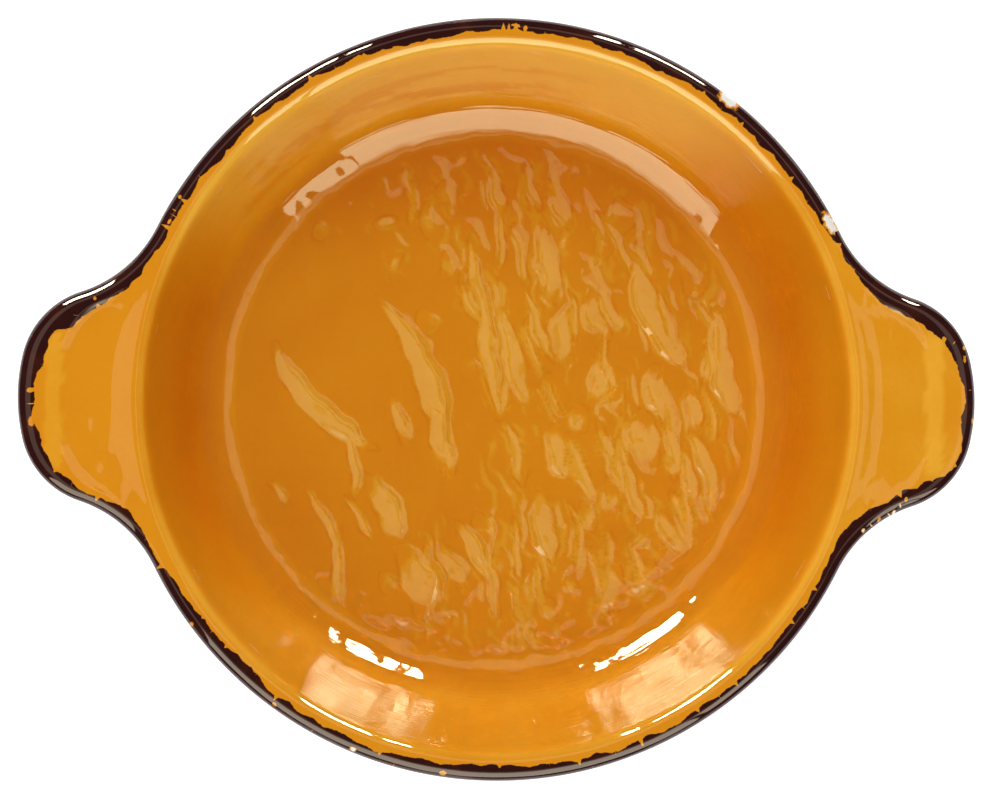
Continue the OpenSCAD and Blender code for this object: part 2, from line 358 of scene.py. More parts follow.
def ridge_line(shape):
    """Points down the middle of a ridge, and the direction across it."""
    middle_x, middle_y, length, lean, bend, _ = shape
    share = np.linspace(0.0, 1.0, RIDGE_STEPS + 1)
    down = np.array([math.sin(math.radians(lean)), -math.cos(math.radians(lean))])
    side = np.array([-down[1], down[0]])
    along = (share - 0.5) * length
    sway = bend * (1 - (2 * share - 1) ** 2)
    return np.array([middle_x, middle_y]) + along[:, None] * down + sway[:, None] * side, side


def nearest_on_line(x, y, line, side):
    """Distance to a bent line, offset across it, and how far down it the nearest point is."""
    gap_best = np.full(x.shape, np.inf)
    offset = np.zeros_like(x)
    part = np.zeros_like(x)
    for i in range(RIDGE_STEPS):
        span = line[i + 1] - line[i]
        span_length = np.hypot(*span)
        unit = span / span_length
        run = (x - line[i, 0]) * unit[0] + (y - line[i, 1]) * unit[1]
        held = np.clip(run, 0, span_length)
        gap_x = x - line[i, 0] - held * unit[0]
        gap_y = y - line[i, 1] - held * unit[1]
        gap = np.hypot(gap_x, gap_y)
        nearer = gap < gap_best
        gap_best = np.where(nearer, gap, gap_best)
        offset = np.where(nearer, gap_x * side[0] + gap_y * side[1], offset)
        part = np.where(nearer, (i + held / span_length) / RIDGE_STEPS, part)
    return gap_best, offset, part


def ridge(x, y, shape):
    """Height of one ridge and the distance outside its outline.

    Its long face rises across a bent line, towards the middle of the dish, and
    its short face falls back steeply.
    """
    middle_x, middle_y, length, _, bend, width = shape
    height = np.zeros_like(x)
    outside = np.full_like(x, FAR_AWAY)
    reach = length / 2 + abs(bend) + width + 4
    near = np.hypot(x - middle_x, y - middle_y) < reach
    line, side = ridge_line(shape)
    gap, offset, part = nearest_on_line(x[near], y[near], line, side)
    spot = part * length / RIDGE_SWING_LENGTH + middle_x
    swing = 1 + RIDGE_SWING * gradient_noise(spot, np.full_like(part, middle_y), RIDGE_SEED)
    taper = np.clip(1 - (2 * part**RIDGE_SKEW - 1) ** 2, 0.001, 1) ** RIDGE_BLUNTNESS
    half = 0.5 * width * swing * taper
    if middle_x >= 0:
        offset = -offset
    ends = rise(np.minimum(part, 1 - part) * length, 0, RIDGE_ENDS[0] + RIDGE_ENDS[1] * width)
    ends = RIDGE_END_HEIGHT + (1 - RIDGE_END_HEIGHT) * ends
    stout = min(1.0, RIDGE_STOUTNESS[0] + RIDGE_STOUTNESS[1] * length / width)
    face = RIDGE_SLOPE * stout * np.clip(offset + half, 0, 2 * half) * ends
    fall = np.clip(1 - (gap - half) / np.maximum(RIDGE_FALL, RIDGE_FALL_SHARE * half), 0, 1)
    height[near] = face * np.where(gap < half, 1.0, fall)
    outside[near] = gap - half
    return height, outside


def small_ridges():
    """Smaller ridges between the large ones, on the right and near the front."""
    chance = np.random.default_rng(SMALL_RIDGE_SEED)
    shapes = []
    while len(shapes) < SMALL_RIDGES:
        x, y = chance.uniform(-SMALL_RIDGE_REACH, SMALL_RIDGE_REACH, 2)
        crowd = 0.8 * rise(x, -40, 30) + 0.5 * rise(y, -10, -50) + 0.5 * rise(y, 35, 60)
        if math.hypot(x, y) > SMALL_RIDGE_REACH or chance.uniform() > crowd:
            continue
        length = chance.uniform(*SMALL_RIDGE_LENGTH)
        lean = chance.normal(*SMALL_RIDGE_LEAN)
        bend = chance.normal(*SMALL_RIDGE_BEND)
        width = chance.uniform(*SMALL_RIDGE_WIDTH)
        shapes.append((x, y, length, lean, bend, width))
    return tuple(shapes)


def rough_share(x, y):
    """How strongly the glaze ripples: hardly on the left, fully on the right and near the front."""
    share = 0.8 * rise(x, -40, 10)
    share += 0.5 * rise(y, -20, -50) * rise(x, -60, -30)
    share += 0.5 * rise(y, 25, 45) * rise(x, -65, -45)
    return np.minimum(share, 1.0)


def floor_relief(x, y, shapes):
    """Height of the relief over the floor's plane, and the distance outside the nearest ridge."""
    sway_x = sum(ripple(x, y, shape) for shape in SWAY_X)
    sway_y = sum(ripple(x, y, shape) for shape in SWAY_Y)
    total = np.zeros_like(x)
    outside = np.full_like(x, FAR_AWAY)
    for shape in shapes:
        one, away = ridge(x + sway_x, y + sway_y, shape)
        total += one**3
        outside = np.minimum(outside, away)
    lean = math.radians(FLOW_LEAN)
    flow = (x + sway_x) * math.sin(lean) - (y + sway_y) * math.cos(lean)
    cross = (x + 2 * sway_x) * math.cos(lean) + (y + 2 * sway_y) * math.sin(lean)
    ripples = ripple(cross, flow, LUMPS) + ripple(cross, flow, GRAIN)
    ripples *= rough_share(x, y) * (RIPPLE_ON_RIDGE + (1 - RIPPLE_ON_RIDGE) * rise(outside, 0, 1.5))
    return np.cbrt(total) + ripples + ripple(x, y, SWELL) - RELIEF_SINK, outside


def relief_slope(x, y, here, shapes):
    """Steepness of the relief, for the glaze that thins there and the painted reflection and shade on
    slopes.
    """
    right, _ = floor_relief(x + SLOPE_STEP, y, shapes)
    back, _ = floor_relief(x, y + SLOPE_STEP, shapes)
    return np.hypot(right - here, back - here) / SLOPE_STEP


def place(radial, radius, height):
    """A ring of points at one radius and height."""
    return np.column_stack([radial * radius, np.full(len(radial), height)])


def lip_point(points, ways, angle):
    """Points of the lip at the given angles round its section, 90 on its top."""
    turn = np.radians(angle)
    plan = points - (LIP_R * (1 - np.cos(turn)))[:, None] * ways
    return np.column_stack([plan, DISH_HEIGHT - LIP_R + LIP_R * np.sin(turn)])


def blend_curve(a, b, c, d, t):
    """Point of a Bezier curve."""
    return (1 - t) ** 3 * a + 3 * t * (1 - t) ** 2 * b + 3 * t * t * (1 - t) * c + t**3 * d


def wall_line():
    """The inner wall's slope in degrees and its unit vectors along and outward."""
    reach = np.array([MOUTH_R, DISH_HEIGHT]) - np.array([FLOOR_R, FLOOR_Z + COVE_R])
    slope = 90 + math.degrees(math.atan2(reach[1], reach[0]) - math.acos(COVE_R / np.hypot(*reach)))
    return slope, direction(slope), direction(slope - 90)


def bowl_rings(radial):
    """Rings from the floor's edge up the cove and the wall and over the mouth's rounding."""
    slope, along, outward = wall_line()
    cove_centre = np.array([FLOOR_R, FLOOR_Z + COVE_R])
    spots = []
    for angle in np.linspace(0, slope, COVE_STEPS + 1)[1:]:
        spots.append(cove_centre + COVE_R * direction(angle - 90))
    edge = np.array([MOUTH_R, DISH_HEIGHT]) - along * RIM_FALL / along[1]
    ease = MOUTH_ROUNDING * math.tan(math.radians((slope - RIM_TILT) / 2))
    cove_end = cove_centre + COVE_R * outward
    wall_end = edge - along * ease
    for share in np.linspace(0, 1, WALL_STEPS + 1)[1:-1]:
        spots.append(cove_end + (wall_end - cove_end) * share)
    mouth_centre = wall_end + MOUTH_ROUNDING * outward
    for angle in np.linspace(90 + slope, 90 + RIM_TILT, MOUTH_STEPS + 1):
        spots.append(mouth_centre + MOUTH_ROUNDING * direction(angle))
    return [place(radial, spot[0], spot[1]) for spot in spots]


def rim_rings(start, points, ways, overhang):
    """Rings across the rim's top to the lip, with a dip in each handle and ripples by the creases."""
    crown = lip_point(points, ways, np.full(len(points), 90.0))
    dip = HANDLE_DIP * rise(overhang, 0, HANDLE_REACH)
    rings = []
    for share in np.linspace(0, 1, RIM_STEPS + 1)[1:]:
        ring = start + (crown - start) * share
        x, y, _ = ring.T
        on_left = within(x, *LEFT_SPAN_X) * within(y, *LEFT_SPAN_Y)
        shown = CREASE_RIPPLE * within(abs(x), *CREASE_SPAN) + on_left
        waves = (ripple(x, y, RIM_RIPPLE) - RIM_RIPPLE_SINK) * shown * within(share, *RIM_RIPPLE_SPAN)
        fall = (DISH_HEIGHT - start[:, 2]) * (1 - share) ** 2
        height = DISH_HEIGHT - fall - dip * within(share, *DIP_SPAN) + waves
        ring[:, 2] = np.minimum(height, DISH_HEIGHT)
        rings.append(ring)
    return rings


def outer_rings(points, ways, radial, overhang):
    """Rings round the lip, down the blend under it and the outer wall to the underside."""
    slope, along, outward = wall_line()
    lip_end = BEAD_END + (HANDLE_END - BEAD_END) * rise(overhang, 0, HANDLE_BLEND)
    rings = []
    for share in np.linspace(0, 1, LIP_STEPS + 1)[1:]:
        rings.append(lip_point(points, ways, 90 + (lip_end - 90) * share))

    outer = np.array([MOUTH_R, DISH_HEIGHT]) + WALL_THICKNESS * outward
    blend = outer + along * (DISH_HEIGHT - BLEND_DEPTH - outer[1]) / along[1]
    wall_spot = place(radial, blend[0], blend[1])
    lip_spot = rings[-1]
    level = wall_spot[:, :2] - lip_spot[:, :2]
    drop = np.hypot(level[:, 0], level[:, 1]) / np.tan(np.radians(lip_end))
    lip_pull = lip_spot + BLEND_PULL_LIP * np.column_stack([level, drop])
    wall_pull = wall_spot + BLEND_PULL_WALL * place(radial, along[0], along[1])
    for share in np.linspace(0, 1, BLEND_STEPS + 1)[1:]:
        rings.append(blend_curve(lip_spot, lip_pull, wall_pull, wall_spot, share))

    under_r = COVE_R + WALL_THICKNESS
    under_z = FOOT_HEIGHT + under_r
    under_x = (outer @ outward - under_r - under_z * outward[1]) / outward[0]
    under_centre = np.array([under_x, under_z])
    under_end = under_centre + under_r * outward
    spots = [blend + (under_end - blend) * share for share in UNDER_WALL_SHARES]
    for angle in np.linspace(slope, 0, UNDER_STEPS + 1):
        spots.append(under_centre + under_r * direction(angle - 90))
    return rings + [place(radial, spot[0], spot[1]) for spot in spots]


def foot_profile():
    """Section of the underside from the outside of the foot ring to near the middle."""
    lean = FOOT_DRAFT * (FOOT_HEIGHT - FOOT_EASE)
    inner = FOOT_R - FOOT_WIDTH
    wide = FOOT_R + FOOT_EASE + lean
    narrow = inner - FOOT_EASE - lean
    turn, turn_height = FOOT_TURN
    top = FOOT_HEIGHT - FOOT_FILLET_RISE
    outside = [
        (wide + FOOT_FILLET, FOOT_HEIGHT), (wide, top), (FOOT_R + FOOT_EASE, FOOT_EASE),
        (FOOT_R + turn, turn_height), (FOOT_R, 0.0),
    ]
    inside = [
        (inner, 0.0), (inner - turn, turn_height), (inner - FOOT_EASE, FOOT_EASE),
        (narrow, top), (narrow - FOOT_FILLET, FOOT_HEIGHT),
    ]
    under = [(radius, FOOT_HEIGHT) for radius in UNDER_RADII]
    return outside + [(FOOT_R - FOOT_WIDTH / 2, 0.0)] + inside + under


class Surface:
    """A closed mesh that grows outwards from one point, ring by ring, to another."""

    def __init__(self, centre):
        self.blocks = [np.array([centre])]
        self.faces = []
        self.used = 1
        self.start = 0
        self.count = 1

    def add_ring(self, ring):
        """Add a ring of points and the faces between it and the last one."""
        here = np.arange(len(ring))
        after = (here + 1) % len(ring)
        low = self.start
        high = self.used
        if self.count == 1:
            self.faces += np.column_stack([np.zeros_like(here), high + here, high + after]).tolist()
        elif self.count == len(ring):
            self.faces += np.column_stack([low + here, high + here, high + after, low + after]).tolist()
        else:
            self.join_finer(low, high)
        self.blocks.append(ring)
        self.start = high
        self.count = len(ring)
        self.used += self.count

    def join_finer(self, coarse, fine):
        """Faces between the last ring and one with twice its points."""
        for i in range(self.count):
            after = (i + 1) % self.count
            middle = fine + 2 * i + 1
            self.faces.append([coarse + i, fine + 2 * i, middle])
            self.faces.append([coarse + i, middle, coarse + after])
            self.faces.append([coarse + after, middle, fine + (2 * i + 2) % (2 * self.count)])

    def close(self, centre):
        """Faces from the last ring to one point."""
        for i in range(self.count):
            self.faces.append([self.start + i, self.used, self.start + (i + 1) % self.count])
        self.blocks.append(np.array([centre]))
        return np.concatenate(self.blocks), self.faces


def dish_surface(points, ways):
    """Points and faces of the dish with a flat floor, and the number of the lip's first point."""
    plan = np.hypot(points[:, 0], points[:, 1])
    radial = points / plan[:, None]
    overhang = plan - BODY_R
    surface = Surface([0.0, 0.0, FLOOR_Z])
    for skip, start, end, step in FLOOR_RINGS:
        for radius in np.arange(start, end - 0.1, step):
            surface.add_ring(place(radial[::skip], radius, FLOOR_Z))
    surface.add_ring(place(radial, FLOOR_R, FLOOR_Z))
    bowl = bowl_rings(radial)
    for ring in bowl + rim_rings(bowl[-1], points, ways, overhang):
        surface.add_ring(ring)
    lip_start = surface.used
    for ring in outer_rings(points, ways, radial, overhang):
        surface.add_ring(ring)
    for radius, height in foot_profile():
        surface.add_ring(place(radial, radius, height))
    verts, faces = surface.close([0.0, 0.0, FOOT_HEIGHT])
    return verts, faces, lip_start


def raise_relief(verts):
    """Raise the relief and the cove's waves; return height, steepness and distance outside the ridges."""
    plan = np.hypot(verts[:, 0], verts[:, 1])
    inside = (verts[:, 2] > FLOOR_Z - 0.01) & (verts[:, 2] < FLOOR_Z + 5)
    fade = rise(plan, FLOOR_R + 3, FLOOR_R - 4) * inside
    relief = np.zeros(len(verts))
    steep = np.zeros(len(verts))
    outside = np.full(len(verts), FAR_AWAY)
    on_floor = fade > 0
    x, y = verts[on_floor, :2].T
    shapes = RIDGES + small_ridges()
    relief[on_floor], outside[on_floor] = floor_relief(x, y, shapes)
    steep[on_floor] = relief_slope(x, y, relief[on_floor], shapes)
    outside += 6 * (1 - fade)
    verts[:, 2] += relief * fade + cove_waves(verts, plan) * inside
    return relief * fade, steep * fade, outside


def cove_waves(verts, plan):
    """Waves where the floor turns into the cove, strongest near the front."""
    x, y, _ = verts.T
    front = rise(y, -40, -60)
    plain, in_front, behind, on_left = COVE_RIPPLE_HEIGHTS
    size = plain + in_front * front + behind * rise(y, 40, 60) + on_left * rise(x, -40, -60)
    waves = ripple(x, y, COVE_SWELL) + size * ripple(x, y, COVE_RIPPLE) + front * ripple(x, y, COVE_GRAIN)
    return waves * within(plan, *COVE_SPAN)


def nearest_edge(spots, points):
    """Distance to the outline, place along it, and its whole length."""
    lengths = np.hypot(*(np.roll(points, -1, axis=0) - points).T)
    along = np.concatenate([[0.0], np.cumsum(lengths)])
    best = np.full(len(spots), np.inf)
    where = np.zeros(len(spots))
    for i, start in enumerate(points):
        unit = (points[(i + 1) % len(points)] - start) / lengths[i]
        gap = spots - start
        run = np.clip(gap @ unit, 0, lengths[i])
        away = np.hypot(gap[:, 0] - run * unit[0], gap[:, 1] - run * unit[1])
        nearer = away < best
        best = np.where(nearer, away, best)
        where = np.where(nearer, along[i] + run, where)
    return best, where, along[-1]


def band_distance(verts, points, lip_start):
    """Distance in from the inner side of the dark band, negative inside the band.

    The second value is the place along the edge, wrapped round a circle of the
    same length, and the third is that length.
    """
    plan = np.hypot(verts[:, 0], verts[:, 1])
    top = verts[:, 2] > DISH_HEIGHT - LIP_R
    near = np.flatnonzero((plan > MOUTH_R - 3) & top)
    away, where, length = nearest_edge(verts[near, :2], points)
    places, widths = np.array(BAND_WIDTHS).T
    inner = np.full(len(verts), FAR_INSIDE)
    inner[near] = away - np.interp(where, places, widths, period=length)
    inner[(np.arange(len(verts)) >= lip_start) & ~top] = FAR_OUTSIDE
    radius = length / (2 * math.pi)
    round_edge = np.zeros((len(verts), 3))
    round_edge[near, 0] = radius * np.cos(where / radius)
    round_edge[near, 1] = radius * np.sin(where / radius)
    return inner, round_edge, length


def nearest_nick(round_edge, length):
    """Distance along the edge to the nearest nick, and that nick's depth."""
    angle = np.arctan2(round_edge[:, 1], round_edge[:, 0])
    place_along = (angle / (2 * math.pi) * length) % length
    gap = np.full(len(round_edge), FAR_AWAY)
    depth = np.zeros(len(round_edge))
    for spot, deep in NICKS:
        away = (place_along - spot + length / 2) % length - length / 2
        nearer = np.abs(away) < np.abs(gap)
        gap = np.where(nearer, away, gap)
        depth = np.where(nearer, deep, depth)
    return np.column_stack([gap, depth, np.zeros(len(gap))])


def nearest_chip(verts):
    """Offset from the nearest chip in that chip's half sizes, and whether it is pale."""
    result = np.full((len(verts), 3), FAR_AWAY)
    best = np.full(len(verts), np.inf)
    on_top = verts[:, 2] > DISH_HEIGHT - 5
    for x, y, long, short, pale in CHIPS:
        radial = np.array([x, y]) / math.hypot(x, y)
        gap = verts[:, :2] - (x, y)
        along = (gap[:, 1] * radial[0] - gap[:, 0] * radial[1]) / long
        across = (gap[:, 0] * radial[0] + gap[:, 1] * radial[1]) / short
        away = np.hypot(gap[:, 0], gap[:, 1])
        nearer = (away < best) & on_top
        best = np.where(nearer, away, best)
        for column, value in enumerate((along, across, pale)):
            result[:, column] = np.where(nearer, value, result[:, column])
    return result


def make_mesh(name, verts, faces):
    """A smooth-shaded piece from points in millimetres."""
    mesh = bpy.data.meshes.new(name)
    mesh.from_pydata((verts * MM).tolist(), [], faces)
    mesh.polygons.foreach_set("use_smooth", [True] * len(mesh.polygons))
    mesh.update()
    piece = bpy.data.objects.new(name, mesh)
    bpy.context.scene.collection.objects.link(piece)
    return piece


def add_attribute(piece, name, values):
    """Store one number or one vector a point, for the material to read."""
    values = np.asarray(values, dtype=np.float32)
    if values.ndim == 2:
        layer = piece.data.attributes.new(name, "FLOAT_VECTOR", "POINT")
        layer.data.foreach_set("vector", values.ravel())
    else:
        layer = piece.data.attributes.new(name, "FLOAT", "POINT")
        layer.data.foreach_set("value", values)


class Nodes:
    """Short calls for building one material's nodes."""

    def __init__(self, material):
        material.use_nodes = True
        self.tree = material.node_tree
        self.shader = self.tree.nodes["Principled BSDF"]

    def add(self, kind, **settings):
        node = self.tree.nodes.new(kind)
        for key, value in settings.items():
            setattr(node, key, value)
        return node

    def feed(self, socket, value):
        if isinstance(value, bpy.types.NodeSocket):
            self.tree.links.new(value, socket)
        elif value is not None:
            socket.default_value = value

    def math(self, operation, a, b=None, c=None, clamp=False):
        node = self.add("ShaderNodeMath", operation=operation, use_clamp=clamp)
        for socket, value in zip(node.inputs, (a, b, c)):
            self.feed(socket, value)
        return node.outputs[0]

    def vector(self, operation, a, b=None):
        node = self.add("ShaderNodeVectorMath", operation=operation)
        self.feed(node.inputs[0], a)
        self.feed(node.inputs[1], b)
        return node.outputs["Value" if operation == "LENGTH" else "Vector"]

    def millimetres(self):
        """The piece's own coordinates in millimetres."""
        node = self.add("ShaderNodeVectorMath", operation="SCALE")
        self.feed(node.inputs[0], self.add("ShaderNodeTexCoord").outputs["Object"])
        self.feed(node.inputs["Scale"], 1 / MM)
        return node.outputs["Vector"]

    def split(self, vector):
        node = self.add("ShaderNodeSeparateXYZ")
        self.feed(node.inputs[0], vector)
        return node.outputs[:]

    def attribute(self, name, output="Fac"):
        return self.add("ShaderNodeAttribute", attribute_name=name).outputs[output]

    def span(self, value, low, high, to_low=0.0, to_high=1.0):
        """Smooth change from to_low to to_high as the value passes from low to high."""
        node = self.add("ShaderNodeMapRange", interpolation_type="SMOOTHSTEP", clamp=True)
        names = ("Value", "From Min", "From Max", "To Min", "To Max")
        for name, item in zip(names, (value, low, high, to_low, to_high)):
            self.feed(node.inputs[name], item)
        return node.outputs["Result"]

    def noise(self, vector, scale, detail=2.0, roughness=0.5):
        node = self.add("ShaderNodeTexNoise")
        self.feed(node.inputs["Vector"], vector)
        self.feed(node.inputs["Scale"], scale)
        self.feed(node.inputs["Detail"], detail)
        self.feed(node.inputs["Roughness"], roughness)
        return node.outputs["Fac"]

    def swing(self, value, size):
        """A value from 0 to 1 turned into one round 0 with the given size."""
        return self.math("MULTIPLY_ADD", value, size, -size / 2)

    def cells(self, vector, scale):
        node = self.add("ShaderNodeTexVoronoi", feature="F1")
        self.feed(node.inputs["Vector"], vector)
        self.feed(node.inputs["Scale"], scale)
        return node.outputs["Distance"]

    def colour(self, share, first, second):
        node = self.add("ShaderNodeMix", data_type="RGBA")
        self.feed(node.inputs["Factor"], share)
        self.feed(node.inputs[6], first)
        self.feed(node.inputs[7], second)
        return node.outputs[2]

    def bump(self, height, distance):
        node = self.add("ShaderNodeBump")
        self.feed(node.inputs["Height"], height)
        self.feed(node.inputs["Distance"], distance)
        self.feed(node.inputs["Strength"], 1.0)
        return node.outputs["Normal"]


WHITE = (1, 1, 1, 1)
BLACK = (0, 0, 0, 1)
DEEP_AMBER = (0.67, 0.176, 0.0035, 1)
AMBER = (0.80, 0.305, 0.008, 1)
PALE_AMBER = (0.98, 0.52, 0.050, 1)
DARK_GLAZE = (0.029, 0.0050, 0.0032, 1)
BROWN_GLAZE = (0.065, 0.011, 0.003, 1)
EDGE_TINT = (1.0, 0.80, 0.94, 1)
BARE_CLAY = (0.93, 0.89, 0.80, 1)
GLAZE_ROUGHNESS = 0.035
CLAY_ROUGHNESS = 0.8
GLAZE_IOR = 1.5

# Noise in the glaze: scale a millimetre, detail and roughness
CLOUDS = (0.045, 3.0)
MOTTLE = (0.55, 3.0, 0.6)
BESIDE_PATCHES = (0.2, 1.0)
BROWN_CLOUDS = (0.12, 3.0)
# How much clouds, mottle, ridges and the darker lines beside some ridges change
# the amber's paleness, and the noise where the dark glaze starts to be and is brown.
# The darker lines are pooled glaze and the dark edge of a painted reflection.
CLOUD_SHARE = 0.30
MOTTLE_SHARE = 0.10
RIDGE_SHARE = 0.04
BESIDE_SHARE = 0.14
BROWN_SPAN = (0.46, 0.85)

# The ragged inner line of the dark band: scale, size and offset of its lobes and
# teeth, scale and size of its fray, and how sharp its nicks and how soft its line are
LOBES = (0.16, 1.9, -0.85)
TEETH = (0.4, 1.1, -0.62)
FRAY = (0.9, 0.3)
NICK_SLOPE = -1.3
LINE_SOFTNESS = 0.12
# Where a chip ends and where the pale body in it ends, in half sizes of the chip,
# and the scale and size of the fray of both
CHIP_EDGE = (0.9, 1.15)
BODY_EDGE = (0.6, 0.85)
CHIP_FRAY = (0.8, 0.9)

# Faint rings up the wall: stretch, scale a millimetre, and depth in metres
RING_STRETCH = (0.03, 0.03, 1.0)
RING_SCALE = 1.6
RING_DEPTH = 0.00011


def amber_colour(n, spot):
    """Amber glaze, deep where it pools and pale where it thins, with painted light, shade and reflections
    from its attributes.
    """
    share = n.math("ADD", n.attribute("pool_and_light"), n.swing(n.noise(spot, *CLOUDS), CLOUD_SHARE))
    share = n.math("ADD", share, n.swing(n.noise(spot, *MOTTLE), MOTTLE_SHARE))
    ridge_gap = n.attribute("ridge")
    on_ridge = n.math("MULTIPLY", n.span(ridge_gap, -0.3, 0.15, 1.0, 0.0), RIDGE_SHARE)
    # Darker lines beside some ridges: pooled glaze and the dark edge of a painted reflection
    beside = n.math("MULTIPLY", n.span(ridge_gap, 0.0, 0.3), n.span(ridge_gap, 0.4, 1.6, 1.0, 0.0))
    shown = n.span(n.noise(spot, *BESIDE_PATCHES), 0.4, 0.6, 0.0, BESIDE_SHARE)
    beside = n.math("MULTIPLY", beside, shown)
    share = n.math("SUBTRACT", n.math("ADD", share, on_ridge), beside)
    low = n.colour(n.math("MULTIPLY", share, 2.0, clamp=True), DEEP_AMBER, AMBER)
    amber = n.colour(n.math("MULTIPLY_ADD", share, 2.0, -1.0, clamp=True), low, PALE_AMBER)
    # Painted shade: the amber darkened in the bowl and on steep places
    return n.colour(n.attribute("shade"), BLACK, amber)


def painted_share(n, spot):
    """1 in the dark band and 0 inside it, with a ragged line and nicks between."""
    place_along = n.attribute("round_edge", "Vector")
    lobes = n.math("MULTIPLY_ADD", n.cells(place_along, LOBES[0]), *LOBES[1:])
    teeth = n.math("MULTIPLY_ADD", n.noise(place_along, TEETH[0]), *TEETH[1:])
    fray = n.swing(n.noise(spot, FRAY[0]), FRAY[1])
    gap, depth, _ = n.split(n.attribute("nick", "Vector"))
    spike = n.math("MULTIPLY_ADD", n.math("ABSOLUTE", gap), NICK_SLOPE, 1.0, clamp=True)
    ragged = n.math("ADD", n.math("ADD", n.attribute("band"), lobes), n.math("ADD", teeth, fray))
    ragged = n.math("ADD", ragged, n.math("MULTIPLY", spike, depth))
    return n.span(ragged, -LINE_SOFTNESS, LINE_SOFTNESS, 1.0, 0.0)


def chip_shares(n, spot):
    """Where the chips leave the paint on, and where the pale body shows in them, in the two large chips
    also as a painted highlight.
    """
    along, across, pale = n.split(n.attribute("chip", "Vector"))
    offset = n.add("ShaderNodeCombineXYZ")
    n.feed(offset.inputs["X"], along)
    n.feed(offset.inputs["Y"], across)
    fray = n.swing(n.noise(spot, CHIP_FRAY[0], 1.0), CHIP_FRAY[1])
    gap = n.math("ADD", n.vector("LENGTH", offset.outputs[0]), fray)
    return n.span(gap, *CHIP_EDGE), n.math("MULTIPLY", n.span(gap, *BODY_EDGE, 1.0, 0.0), pale)


def glaze():
    """Amber glaze inside, nearly black glaze on the edge and outside, bare clay under the foot."""
    material = bpy.data.materials.new("amber_glaze")
    n = Nodes(material)
    spot = n.millimetres()
    bare = n.attribute("bare")
    unchipped, body_and_highlight_shown = chip_shares(n, spot)
    painted = n.math("MULTIPLY", painted_share(n, spot), unchipped)
    brown = n.span(n.noise(spot, *BROWN_CLOUDS), *BROWN_SPAN)
    skin = n.colour(painted, amber_colour(n, spot), n.colour(brown, DARK_GLAZE, BROWN_GLAZE))
    # Pale body in the chips, in the two large ones also a painted highlight
    skin = n.colour(body_and_highlight_shown, skin, BARE_CLAY)
    n.feed(n.shader.inputs["Base Color"], n.colour(bare, skin, BARE_CLAY))
    n.feed(n.shader.inputs["Specular Tint"], n.colour(painted, WHITE, EDGE_TINT))
    n.feed(n.shader.inputs["Roughness"], n.span(bare, 0.0, 1.0, GLAZE_ROUGHNESS, CLAY_ROUGHNESS))
    n.shader.inputs["IOR"].default_value = GLAZE_IOR
    rings = n.noise(n.vector("MULTIPLY", spot, RING_STRETCH), RING_SCALE, 1.0)
    n.feed(n.shader.inputs["Normal"], n.bump(rings, RING_DEPTH))
    return material


# Paleness of the amber, from 0 where the glaze pools deep to 1 where it is thin,
# and what each part of the dish adds to it. Some parts are painted light instead:
# the pale far wall is a painted sheen with darker painted reflected streaks, the
# paler near wall and near cove are painted light, the darker far floor is painted
# shade, the pale line at the floor's edge is a painted reflection, the pale steep
# places are thin glaze and a painted reflection, and the pale creases are thin
# glaze and a painted highlight.
PLAIN_SHARE = 0.33
RIM_SHARE = 0.09
COVE_SHARE = -0.22
NEAR_COVE_LIGHT_SHARE = 0.24
FAR_CREASE_THIN_AND_HIGHLIGHT_SHARE = 0.15
SIDE_CREASE_THIN_AND_HIGHLIGHT_SHARE = 0.24
RIGHT_WALL_SHARE = 0.12
FAR_WALL_SHEEN_SHARE = 0.60
NEAR_WALL_LIGHT_SHARE = 0.28
REFLECTED_STREAK_SHARE = -0.2
RELIEF_SHARE = 0.10
STEEP_THIN_AND_REFLECTION_SHARE = 0.29
FLOOR_EDGE_REFLECTION_SHARE = 0.16
FAR_FLOOR_SHADE_SHARE = -0.22
HANDLE_STRIP_SHARE = 0.19
# Painted shade: how much of the amber's brightness the bowl keeps, and its steep places lose
BOWL_SHADE = 0.86
STEEP_SHADE = 0.08
# Where those parts lie: spans in millimetres from the middle, and for the far
# wall and its streaks also in degrees anticlockwise from +X
WALL_SPAN = (90, 99, 111, 114)
FAR_WALL_TURN = (36, 62, 140, 166)
STREAK_SPAN = (97, 99, 105, 107)
STREAK_TURN = (70, 85, 136, 148)
FLOOR_EDGE_SPAN = (83.2, 84.0, 86.2, 87.2)
HANDLE_STRIP_SPAN = (133.8, 134.4, 139.2, 140.0)
HANDLE_STRIP_REACH = (24, 20)
NEAR_SIDE = (-20, -80)
# Radius and width of the cove's deep ring, and width of the pale crease
COVE_RING = (96.0, 8.0)
CREASE_WIDTH = 1.2
# The painted reflected streaks' swing in millimetres, their seeds, the swing of the
# strips' edges, and how much further out the left strip lies
STREAK_SWING = 0.9
STREAK_SEED = 61
STREAK_SWING_SEED = 62
STRIP_SWING = (0.8, 6.0, 6.0, 63)
LEFT_STRIP_SHIFT = 1.8


def bell(value, middle, width):
    """1 at the middle, falling off smoothly on both sides."""
    return np.exp(-(((value - middle) / width) ** 2))


